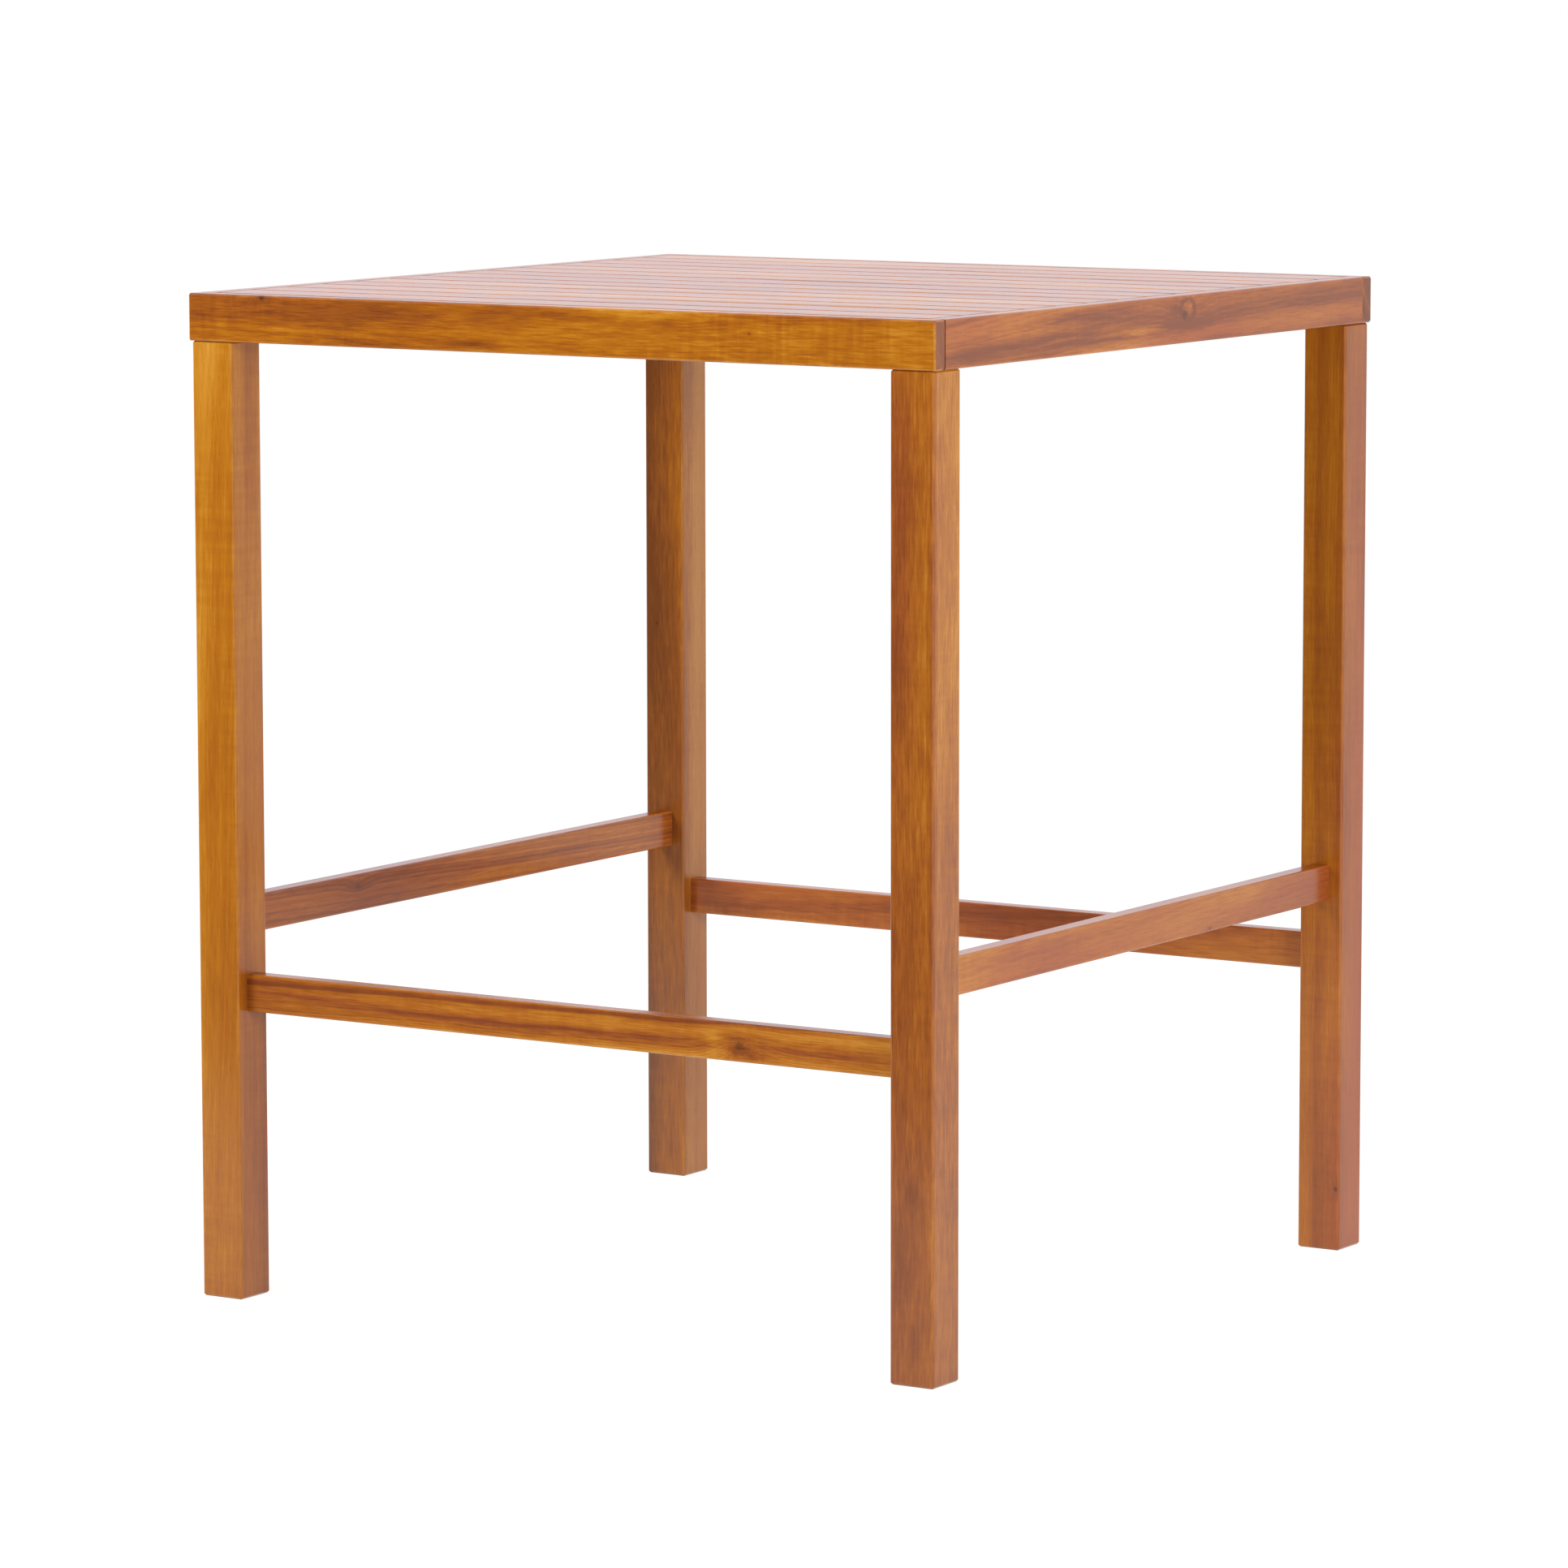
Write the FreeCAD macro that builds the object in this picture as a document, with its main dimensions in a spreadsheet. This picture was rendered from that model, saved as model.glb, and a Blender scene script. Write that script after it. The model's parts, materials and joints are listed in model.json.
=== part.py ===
import FreeCAD, Part
import math
import os
import re
import Sketcher

# Outdoor bar table: a slatted square top on four legs tied by four stretchers.
# The origin is on the floor under the middle of the top, +X to the right, +Y to the back, +Z up.

sizes = {
    # whole table
    "tableWidth": 914,
    "tableDepth": 914,
    "tableHeight": 1067,
    # rails round the top
    "railThick": 20,
    "railDepth": 50,
    "railEase": 2.5,
    "railEndChamfer": 1.8,
    "railTenonThick": 8,
    "railTenonHeight": 24,
    "railTenonLength": 12,
    "railTenonRise": 8,
    # slats, with a tongue at each end that sits in a groove of the side rails
    "slatCount": 14,
    "slatThick": 18,
    "slatGap": 4,
    "slatEase": 2,
    "slatEndGap": 0.8,
    "tongueThick": 8,
    "tongueLength": 8.5,
    "tongueInset": 4,
    "tongueClear": 0.15,
    "tongueSpare": 1.5,
    # batten under the slats
    "battenWidth": 40,
    "battenThick": 20,
    "battenEase": 1.5,
    "battenTenonThick": 10,
    "battenTenonWidth": 30,
    "battenTenonLength": 10,
    # legs
    "legSide": 51,
    "legInset": 2.5,
    "legEase": 3,
    "legEndChamfer": 2,
    # stretchers, and their tenons in the legs
    "stretcherThick": 20,
    "stretcherHeight": 40,
    "stretcherEase": 2,
    "frontStretcherRise": 308,
    "sideStretcherRise": 387,
    "tenonThick": 10,
    "tenonHeight": 28,
    "tenonLength": 28,
    "glueGap": 0.1,
    "mortiseSpare": 2,
    # corner blocks inside the rails, which take the bolts of the legs
    "blockSide": 66,
    "blockNose": 28,
    # hanger bolts, nuts and washers
    "boltDiameter": 8,
    "boltInset": 36,
    "boltInLeg": 46,
    "boltAbove": 3,
    "boltRoom": 0.9,
    "boltClear": 0.5,
    "nutAcross": 13,
    "nutHeight": 6.5,
    "threadClear": 0.1,
    "washerDiameter": 20,
    "washerThick": 1.6,
    # pan-head screws in counterbores, eight-sided as all hidden holes in the wood are
    "screwDiameter": 4,
    "screwHeadDiameter": 8,
    "screwHeadHeight": 2.2,
    "screwClear": 0.15,
    "screwSpare": 2,
    "counterboreDiameter": 10,
    "battenCounterbore": 3,
    "slatScrewBite": 12,
    "blockScrewSeat": 22,
    "blockScrewBite": 12,
    "blockScrewInset": 12,
    # how far cuts run past the face they open
    "overrun": 5,
}

# sizes worked out from the ones above
slatPitch = "((tableDepth - 2 * railThick - slatGap) / slatCount)"
slatWidth = "(" + slatPitch + " - slatGap)"
slatSpan = "(" + slatPitch + " * (slatCount - 1))"
firstSlat = "(-1 * " + slatSpan + " / 2)"
slatLength = "(tableWidth - 2 * railThick - 2 * slatEndGap)"
topUnder = "(tableHeight - railDepth)"
slatUnder = "(tableHeight - slatThick)"
battenUnder = "(" + slatUnder + " - battenThick)"
blockThick = "(railDepth - slatThick - washerThick - nutHeight - boltAbove - boltRoom)"
legPlaceX = "(tableWidth / 2 - legInset - legSide / 2)"
legPlaceY = "(tableDepth / 2 - legInset - legSide / 2)"
boltPlaceX = "(tableWidth / 2 - boltInset)"
boltPlaceY = "(boltInset - tableDepth / 2)"
mortiseDepth = "(tenonLength + mortiseSpare)"
screwHole = "screwDiameter + 2 * screwClear"
blockScrewPlace = "(blockSide - blockScrewInset)"

doc = FreeCAD.newDocument("BarTable")
parts = []
cuts = []


def fillSheet():
    sheet = doc.addObject("Spreadsheet::Sheet", "Sizes")
    for row, (name, value) in enumerate(sizes.items(), start=1):
        sheet.set("A%d" % row, name)
        sheet.set("B%d" % row, str(value))
        sheet.setAlias("B%d" % row, name)
    doc.recompute()


def bind(item, path, formula):
    # every word in a formula is the alias of a cell
    item.setExpression(path, re.sub(r"[A-Za-z]\w*", lambda word: "Sizes." + word.group(), formula))


def place(item, x="0", y="0", z="0", path=".Placement.Base."):
    for axis, formula in zip("xyz", (x, y, z)):
        if formula != "0":
            bind(item, path + axis, formula)


def newPart(label):
    body = doc.addObject("PartDesign::Body", label)
    body.Label = label
    body.AllowCompound = True
    parts.append(body)
    return body


def plane(body, role):
    return next(item for item in body.Origin.OriginFeatures if item.Role == role)


def newSketch(body, name, role, across, up, level):
    sketch = body.newObject("Sketcher::SketchObject", name)
    sketch.AttachmentSupport = [(plane(body, role), "")]
    sketch.MapMode = "FlatFace"
    place(sketch, across, up, level, ".AttachmentOffset.Base.")
    return sketch


def named(sketch, constraint, name, formula):
    index = sketch.addConstraint(constraint)
    sketch.renameConstraint(index, name)
    bind(sketch, "Constraints." + name, formula)


def closedLines(sketch, points):
    # returns the number of the first line
    corners = [FreeCAD.Vector(x, y, 0) for x, y in points]
    first = sketch.GeometryCount
    for start, end in zip(corners, corners[1:] + corners[:1]):
        sketch.addGeometry(Part.LineSegment(start, end))
    count = len(corners)
    for side in range(count):
        following = first + (side + 1) % count
        sketch.addConstraint(Sketcher.Constraint("Coincident", first + side, 2, following, 1))
    return first


def rectangle(body, name, role, width, height, across="0", up="0", level="0"):
    # a rectangle centred on the point (across, up) of its plane
    sketch = newSketch(body, name, role, across, up, level)
    closedLines(sketch, ((-1, -1), (1, -1), (1, 1), (-1, 1)))
    for side in (0, 2):
        sketch.addConstraint(Sketcher.Constraint("Horizontal", side))
        sketch.addConstraint(Sketcher.Constraint("Vertical", side + 1))
    sketch.addConstraint(Sketcher.Constraint("Symmetric", 0, 1, 2, 1, -1, 1))
    named(sketch, Sketcher.Constraint("DistanceX", 0, 1, 0, 2, 2), "width", width)
    named(sketch, Sketcher.Constraint("DistanceY", 1, 1, 1, 2, 2), "height", height)
    return sketch


def circle(body, name, role, diameter, across="0", up="0", level="0"):
    sketch = newSketch(body, name, role, across, up, level)
    sketch.addGeometry(Part.Circle(FreeCAD.Vector(), FreeCAD.Vector(0, 0, 1), 1))
    sketch.addConstraint(Sketcher.Constraint("Coincident", 0, 3, -1, 1))
    named(sketch, Sketcher.Constraint("Diameter", 0, 2), "diameter", diameter)
    return sketch


def octagon(body, name, role, diameter, across="0", up="0", level="0"):
    # a regular octagon, its corners on a circle of this diameter
    sketch = circle(body, name, role, diameter, across, up, level)
    sketch.toggleConstruction(0)
    angles = [math.radians(360 / 8 * (corner + 1 / 2)) for corner in range(8)]
    first = closedLines(sketch, [(math.cos(angle), math.sin(angle)) for angle in angles])
    for side in range(first, first + 8):
        sketch.addConstraint(Sketcher.Constraint("PointOnObject", side, 1, 0))
    for side in range(first + 1, first + 8):
        sketch.addConstraint(Sketcher.Constraint("Equal", first, side))
    sketch.addConstraint(Sketcher.Constraint("Vertical", first + 7))
    return sketch


def overCorners(width):
    # from the distance between two flats of an octagon to that between two corners
    return "((" + width + ") * (4 - 2 * 2 ^ 0.5) ^ 0.5)"


def outline(body, name, role, points, across="0", up="0", level="0"):
    # straight lines through points whose two coordinates are formulas, none of them negative
    sketch = newSketch(body, name, role, across, up, level)
    starts = []
    for number, (x, y) in enumerate(points):
        starts.append((0 if x == "0" else number + 1, 0 if y == "0" else number + 1))
    closedLines(sketch, starts)
    for number, (x, y) in enumerate(points):
        if x == "0":
            sketch.addConstraint(Sketcher.Constraint("PointOnObject", number, 1, -2))
        else:
            rule = Sketcher.Constraint("DistanceX", -1, 1, number, 1, number + 1)
            named(sketch, rule, "x%d" % number, x)
        if y == "0":
            sketch.addConstraint(Sketcher.Constraint("PointOnObject", number, 1, -1))
        else:
            rule = Sketcher.Constraint("DistanceY", -1, 1, number, 1, number + 1)
            named(sketch, rule, "y%d" % number, y)
    return sketch


def pad(body, sketch, length, midplane=False, backwards=False):
    feature = body.newObject("PartDesign::Pad", "Pad")
    feature.Profile = sketch
    feature.Midplane = midplane
    feature.Reversed = backwards
    bind(feature, "Length", length)
    doc.recompute()
    return feature


def pocket(body, sketch, length, backwards=False, midplane=False):
    # cuts against the sketch's normal, or along it when backwards
    feature = body.newObject("PartDesign::Pocket", "Pocket")
    feature.Profile = sketch
    feature.Midplane = midplane
    feature.Reversed = backwards
    bind(feature, "Length", length)
    doc.recompute()
    cuts.append(feature)
    return feature


def edgesAlong(feature, axis):
    # names of the straight edges that run along x, y or z
    found = []
    for number, edge in enumerate(feature.Shape.Edges, start=1):
        if abs(getattr(edge.tangentAt(edge.FirstParameter), axis)) > 1 / 2:
            found.append("Edge%d" % number)
    return found


def roundOver(body, feature, radius, *axes):
    fillet = body.newObject("PartDesign::Fillet", "RoundOver")
    fillet.Base = (feature, [name for axis in axes for name in edgesAlong(feature, axis)])
    bind(fillet, "Radius", radius)
    doc.recompute()
    return fillet


def chamferEnds(body, feature, size, axis):
    # breaks the outlines of the two faces that are square to the axis
    chamfer = body.newObject("PartDesign::Chamfer", "EndChamfer")
    faces = enumerate(feature.Shape.Faces, start=1)
    ends = ["Face%d" % number for number, face in faces
            if face.Surface.TypeId == "Part::GeomPlane" and abs(getattr(face.Surface.Axis, axis)) > 1 / 2]
    chamfer.Base = (feature, ends)
    bind(chamfer, "Size", size)
    doc.recompute()
    return chamfer


def mirrored(body, role):
    feature = body.newObject("PartDesign::Mirrored", "Mirrored")
    feature.MirrorPlane = (plane(body, role), [""])
    return feature


def row(body, role, span, count):
    # copies along an axis of the body's origin, spread over span
    feature = body.newObject("PartDesign::LinearPattern", "Row")
    feature.Direction = (plane(body, role), [""])
    bind(feature, "Length", span)
    bind(feature, "Occurrences", count)
    return feature


def repeat(body, originals, steps):
    feature = body.newObject("PartDesign::MultiTransform", "Repeat")
    feature.Originals = originals
    feature.Transformations = steps
    body.Tip = feature
    doc.recompute()
    return feature


def makeLeg(label, right, back):
    # one mortise for a low stretcher along X, one above it for a high stretcher along Y
    body = newPart(label)
    square = rectangle(body, "Section", "XY_Plane", "legSide", "legSide")
    post = roundOver(body, pad(body, square, topUnder), "legEase", "z")
    chamferEnds(body, post, "legEndChamfer", "z")
    opening = ("tenonThick + 2 * glueGap", "tenonHeight + 2 * glueGap")
    floorOfMortise = "legSide / 2 - " + mortiseDepth
    lowLevel = "-(" + floorOfMortise + ")" if right else floorOfMortise
    low = rectangle(body, "LowMortise", "YZ_Plane", *opening,
                    up="frontStretcherRise + stretcherHeight / 2", level=lowLevel)
    pocket(body, low, mortiseDepth + " + overrun", backwards=not right)
    highLevel = floorOfMortise if back else "-(" + floorOfMortise + ")"
    high = rectangle(body, "HighMortise", "XZ_Plane", *opening,
                     up="sideStretcherRise + stretcherHeight / 2", level=highLevel)
    pocket(body, high, mortiseDepth + " + overrun", backwards=back)
    inward = "legInset + legSide / 2 - boltInset"
    pilot = octagon(body, "BoltHole", "XY_Plane", overCorners("boltDiameter + 2 * threadClear"),
                    across=("" if right else "-1 * ") + "(" + inward + ")",
                    up=("" if back else "-1 * ") + "(" + inward + ")",
                    level=topUnder + " - boltInLeg - mortiseSpare")
    pocket(body, pilot, "boltInLeg + mortiseSpare + overrun", backwards=True)
    place(body, ("" if right else "-1 * ") + legPlaceX, ("" if back else "-1 * ") + legPlaceY)


def makeLegs():
    makeLeg("leg_front_left", right=False, back=False)
    makeLeg("leg_front_right", right=True, back=False)
    makeLeg("leg_back_left", right=False, back=True)
    makeLeg("leg_back_right", right=True, back=True)


def makeStretcher(label, alongDepth, rise, side):
    # the tenons at both ends are one tongue that runs right through the stretcher
    body = newPart(label)
    table = "tableDepth" if alongDepth else "tableWidth"
    clear = "(" + table + " - 2 * legInset - 2 * legSide)"
    role = "XZ_Plane" if alongDepth else "YZ_Plane"
    section = rectangle(body, "Section", role, "stretcherThick", "stretcherHeight")
    bar = pad(body, section, clear, midplane=True)
    roundOver(body, bar, "stretcherEase", "y" if alongDepth else "x")
    tenon = rectangle(body, "Tenon", role, "tenonThick", "tenonHeight")
    pad(body, tenon, clear + " + 2 * tenonLength", midplane=True)
    middle = rise + " + stretcherHeight / 2"
    if alongDepth:
        place(body, side + legPlaceX, "0", middle)
    else:
        place(body, "0", side + legPlaceY, middle)


def makeStretchers():
    makeStretcher("stretcher_front", False, "frontStretcherRise", "-1 * ")
    makeStretcher("stretcher_back", False, "frontStretcherRise", "")
    makeStretcher("stretcher_left", True, "sideStretcherRise", "-1 * ")
    makeStretcher("stretcher_right", True, "sideStretcherRise", "")


def makeLongRail(label, back):
    # front or back rail: runs the full width, its inner face towards the middle of the table
    body = newPart(label)
    section = rectangle(body, "Section", "YZ_Plane", "railThick", "railDepth", up="railDepth / 2")
    board = roundOver(body, pad(body, section, "tableWidth", midplane=True), "railEase", "x")
    chamferEnds(body, board, "railEndChamfer", "x")

    def cutInside(sketchOf, name, depth, across, up, *section):
        # a blind cut in the inner face
        floor = "(railThick / 2 - (" + depth + "))"
        sketch = sketchOf(body, name, "XZ_Plane", *section, across=across, up=up,
                          level=floor if back else "-1 * " + floor)
        return pocket(body, sketch, depth + " + overrun", backwards=back)

    cutInside(rectangle, "BattenMortise", "battenTenonLength + mortiseSpare", "0",
              "railDepth - slatThick - battenThick / 2",
              "battenTenonWidth + 2 * glueGap", "battenTenonThick + 2 * glueGap")
    mortise = cutInside(rectangle, "RailMortise", "railTenonLength + mortiseSpare",
                        "tableWidth / 2 - railThick / 2", "railTenonRise + railTenonHeight / 2",
                        "railTenonThick + 2 * glueGap", "railTenonHeight + 2 * glueGap")
    hole = cutInside(octagon, "ScrewHole", "blockScrewBite + screwSpare",
                     "tableWidth / 2 - railThick - " + blockScrewPlace, blockThick + " / 2", screwHole)
    repeat(body, [mortise], [mirrored(body, "YZ_Plane")])
    repeat(body, [hole], [mirrored(body, "YZ_Plane")])
    place(body, "0", ("" if back else "-1 * ") + "(tableDepth / 2 - railThick / 2)", topUnder)


def makeSideRail(label, right):
    # left or right rail: tenoned between the long rails, grooved inside for the slats
    body = newPart(label)
    section = rectangle(body, "Section", "XZ_Plane", "railThick", "railDepth", up="railDepth / 2")
    roundOver(body, pad(body, section, "tableDepth - 2 * railThick", midplane=True), "railEase", "y")
    grooveDepth = "(tongueLength - slatEndGap + tongueSpare)"
    inward = "-1 * " if right else ""
    groove = rectangle(body, "Groove", "XZ_Plane", grooveDepth + " + overrun",
                       "tongueThick + 2 * tongueClear", up="railDepth - slatThick / 2",
                       across=inward + "(railThick - " + grooveDepth + " + overrun) / 2")
    pocket(body, groove, "tableDepth", midplane=True)
    tenon = rectangle(body, "Tenon", "XZ_Plane", "railTenonThick", "railTenonHeight",
                      up="railTenonRise + railTenonHeight / 2")
    pad(body, tenon, "tableDepth - 2 * railThick + 2 * railTenonLength", midplane=True)
    biteDepth = "(blockScrewBite + screwSpare)"
    floor = "(railThick / 2 - " + biteDepth + ")"
    pilot = octagon(body, "ScrewHole", "YZ_Plane", screwHole,
                    across="tableDepth / 2 - railThick - " + blockScrewPlace, up=blockThick + " / 2",
                    level=inward + floor)
    hole = pocket(body, pilot, biteDepth + " + overrun", backwards=not right)
    repeat(body, [hole], [mirrored(body, "XZ_Plane")])
    place(body, ("" if right else "-1 * ") + "(tableWidth / 2 - railThick / 2)", "0", topUnder)


def makeRails():
    makeLongRail("rail_front", back=False)
    makeLongRail("rail_back", back=True)
    makeSideRail("rail_left", right=False)
    makeSideRail("rail_right", right=True)


def makeSlat(number):
    # a board with a tongue at each end and a pilot hole for the screw of the batten
    body = newPart("slat_%02d" % number)
    section = rectangle(body, "Section", "YZ_Plane", slatWidth, "slatThick", up="slatThick / 2")
    roundOver(body, pad(body, section, slatLength, midplane=True), "slatEase", "x", "y")
    tongue = rectangle(body, "Tongue", "YZ_Plane", slatWidth + " - 2 * tongueInset", "tongueThick",
                       up="slatThick / 2")
    pad(body, tongue, slatLength + " + 2 * tongueLength", midplane=True)
    pilot = octagon(body, "ScrewHole", "XY_Plane", screwHole, level="slatScrewBite + screwSpare")
    pocket(body, pilot, "slatScrewBite + screwSpare + overrun")
    middle = "railThick + slatGap / 2 + " + slatPitch + " * (%s - 1 / 2)" % number
    place(body, "0", middle + " - tableDepth / 2", slatUnder)


def makeSlats():
    for number in range(1, sizes["slatCount"] + 1):
        makeSlat(number)


def makeBatten():
    # lies flat under the middle of the slats, tenoned into the front and back rails
    body = newPart("batten")
    section = rectangle(body, "Section", "XZ_Plane", "battenWidth", "battenThick", up="battenThick / 2")
    board = pad(body, section, "tableDepth - 2 * railThick", midplane=True)
    roundOver(body, board, "battenEase", "y")
    tenon = rectangle(body, "Tenon", "XZ_Plane", "battenTenonWidth", "battenTenonThick",
                      up="battenThick / 2")
    pad(body, tenon, "tableDepth - 2 * railThick + 2 * battenTenonLength", midplane=True)
    drill = octagon(body, "ScrewHole", "XY_Plane", screwHole, up=firstSlat)
    hole = pocket(body, drill, "battenThick + overrun", backwards=True)
    bore = octagon(body, "Counterbore", "XY_Plane", "counterboreDiameter", up=firstSlat,
                   level="battenCounterbore")
    seat = pocket(body, bore, "battenCounterbore + overrun")
    repeat(body, [hole, seat], [row(body, "Y_Axis", slatSpan, "slatCount")])
    place(body, "0", "0", battenUnder)


def makeCornerBlock(label, quarter):
    # five-sided block in the corner of the rails, its origin in that corner
    body = newPart(label)
    corners = (("0", "0"), ("blockSide", "0"), ("blockSide", "blockNose"), ("blockNose", "blockSide"),
               ("0", "blockSide"))
    pad(body, outline(body, "Section", "XY_Plane", corners), blockThick)
    boltPlace = "boltInset - railThick"
    drill = octagon(body, "BoltHole", "XY_Plane", overCorners("boltDiameter + 2 * boltClear"), boltPlace,
                    boltPlace)
    pocket(body, drill, blockThick + " + overrun", backwards=True)
    for role, sign, forward in (("YZ_Plane", "", True), ("XZ_Plane", "-1 * ", False)):
        spot = (blockScrewPlace, blockThick + " / 2")
        drill = octagon(body, "ScrewHole", role, screwHole, *spot)
        pocket(body, drill, "blockSide", backwards=forward)
        seat = sign + "blockScrewSeat"
        bore = octagon(body, "Counterbore", role, "counterboreDiameter", *spot, level=seat)
        pocket(body, bore, "blockSide", backwards=forward)
    turn = FreeCAD.Rotation(FreeCAD.Vector(0, 0, 1), 90 * quarter)
    body.Placement = FreeCAD.Placement(FreeCAD.Vector(), turn)
    left = quarter in (0, 3)
    front = quarter in (0, 1)
    place(body, ("-1 * " if left else "") + "(tableWidth / 2 - railThick)",
          ("-1 * " if front else "") + "(tableDepth / 2 - railThick)", topUnder)


def makeCornerBlocks():
    makeCornerBlock("corner_block_front_left", 0)
    makeCornerBlock("corner_block_front_right", 1)
    makeCornerBlock("corner_block_back_right", 2)
    makeCornerBlock("corner_block_back_left", 3)


def screw(body, role, length, across, up, level, backwards=False):
    # its head starts at the sketch's level, and its shank is as long as said
    head = octagon(body, "Head", role, "screwHeadDiameter", across, up, level)
    shank = octagon(body, "Shank", role, "screwDiameter", across, up, level)
    return [pad(body, head, "screwHeadHeight", backwards=backwards),
            pad(body, shank, "screwHeadHeight + " + length, backwards=backwards)]


def makeSlatScrews():
    # one screw up through the batten into each slat
    body = newPart("slat_screws")
    pieces = screw(body, "XY_Plane", "battenThick - battenCounterbore + slatScrewBite", "0",
                   firstSlat, battenUnder + " + battenCounterbore - screwHeadHeight")
    repeat(body, pieces, [row(body, "Y_Axis", slatSpan, "slatCount")])


def makeBlockScrews():
    # two screws out through each corner block into the rails
    body = newPart("block_screws")
    length = "blockScrewSeat + blockScrewBite"
    height = topUnder + " + " + blockThick + " / 2"
    intoSide = screw(body, "YZ_Plane", length, "tableDepth / 2 - railThick - " + blockScrewPlace, height,
                     "tableWidth / 2 - railThick - blockScrewSeat - screwHeadHeight")
    intoLong = screw(body, "XZ_Plane", length, "tableWidth / 2 - railThick - " + blockScrewPlace, height,
                     "-1 * (tableDepth / 2 - railThick - blockScrewSeat - screwHeadHeight)", backwards=True)
    corners = [mirrored(body, "YZ_Plane"), mirrored(body, "XZ_Plane")]
    repeat(body, intoSide + intoLong, corners)


def makeHangerBolts():
    # screwed into the top of each leg, threaded above it for a nut
    body = newPart("hanger_bolts")
    section = circle(body, "Section", "XY_Plane", "boltDiameter", boltPlaceX, boltPlaceY,
                     topUnder + " - boltInLeg")
    bolt = pad(body, section, "boltInLeg + " + blockThick + " + washerThick + nutHeight + boltAbove")
    repeat(body, [bolt], [mirrored(body, "YZ_Plane"), mirrored(body, "XZ_Plane")])


def makeWashers():
    body = newPart("washers")
    spot = (boltPlaceX, boltPlaceY, topUnder + " + " + blockThick)
    disc = pad(body, circle(body, "Rim", "XY_Plane", "washerDiameter", *spot), "washerThick")
    bore = circle(body, "Bore", "XY_Plane", "boltDiameter + 2 * threadClear", *spot)
    hole = pocket(body, bore, "washerThick + overrun", backwards=True)
    repeat(body, [disc, hole], [mirrored(body, "YZ_Plane"), mirrored(body, "XZ_Plane")])


def makeNuts():
    body = newPart("nuts")
    spot = (boltPlaceX, boltPlaceY, topUnder + " + " + blockThick + " + washerThick")
    nut = body.newObject("PartDesign::AdditivePrism", "Hexagon")
    nut.Polygon = 6
    bind(nut, "Circumradius", "nutAcross / (3 ^ 0.5)")
    bind(nut, "Height", "nutHeight")
    place(nut, *spot)
    doc.recompute()
    bore = circle(body, "Bore", "XY_Plane", "boltDiameter + 2 * threadClear", *spot)
    hole = pocket(body, bore, "nutHeight + overrun", backwards=True)
    repeat(body, [nut, hole], [mirrored(body, "YZ_Plane"), mirrored(body, "XZ_Plane")])


def checkModel():
    doc.recompute()
    faults = []
    for item in doc.Objects:
        if "Invalid" in item.State or "Error" in item.State:
            faults.append("%s is %s" % (item.Name, item.State))
    for feature in cuts:
        if feature.Shape.isNull() or feature.Shape.Volume >= feature.BaseFeature.Shape.Volume:
            faults.append("%s cuts nothing" % feature.Name)
    for body in parts:
        if body.Shape.isNull() or not body.Shape.isValid() or not body.Shape.Solids:
            faults.append("%s has no valid solid" % body.Label)
    if faults:
        raise RuntimeError("; ".join(faults))


def writeParts():
    os.makedirs("parts", exist_ok=True)
    for body in parts:
        body.Shape.exportStep("parts/%s.step" % body.Label)
        print("%-26s solids %2d  volume %10.1f" % (body.Label, len(body.Shape.Solids), body.Shape.Volume))


fillSheet()
makeLegs()
makeStretchers()
makeRails()
makeSlats()
makeBatten()
makeCornerBlocks()
makeSlatScrews()
makeBlockScrews()
makeHangerBolts()
makeWashers()
makeNuts()
checkModel()
writeParts()
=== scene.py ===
import json
import math
import bpy
from mathutils import Euler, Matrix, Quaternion, Vector


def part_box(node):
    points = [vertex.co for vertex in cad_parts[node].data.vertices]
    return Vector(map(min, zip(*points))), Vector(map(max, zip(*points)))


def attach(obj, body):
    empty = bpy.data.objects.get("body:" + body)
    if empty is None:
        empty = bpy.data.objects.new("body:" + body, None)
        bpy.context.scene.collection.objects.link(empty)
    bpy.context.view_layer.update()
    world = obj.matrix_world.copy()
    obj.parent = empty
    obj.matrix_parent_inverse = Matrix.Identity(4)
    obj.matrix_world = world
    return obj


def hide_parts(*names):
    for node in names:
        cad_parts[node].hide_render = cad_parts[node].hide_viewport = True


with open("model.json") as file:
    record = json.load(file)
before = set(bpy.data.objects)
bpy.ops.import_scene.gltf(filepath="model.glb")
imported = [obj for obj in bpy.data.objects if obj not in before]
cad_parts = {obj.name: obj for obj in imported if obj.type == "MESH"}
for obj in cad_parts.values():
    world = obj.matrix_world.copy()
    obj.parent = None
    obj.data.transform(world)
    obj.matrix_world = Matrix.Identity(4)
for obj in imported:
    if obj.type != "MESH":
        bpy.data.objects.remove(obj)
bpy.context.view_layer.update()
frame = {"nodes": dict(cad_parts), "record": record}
cadNodes = frame["nodes"]
scene = bpy.context.scene

# Outdoor bar table of oiled acacia: a slatted top on four legs tied by four stretchers.
# Metres, the origin on the floor under the middle of the top.

cameraSettings = {
    "place": (4.0807, -6.4368, 1.4971),
    "aim": (0.0, -0.0146, 0.5317),
    "roll": -0.0869,   # degrees
    "lens": 164.02,    # mm
    "sensor": 36.0,    # mm wide
    "farthest": 200,
}


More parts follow.
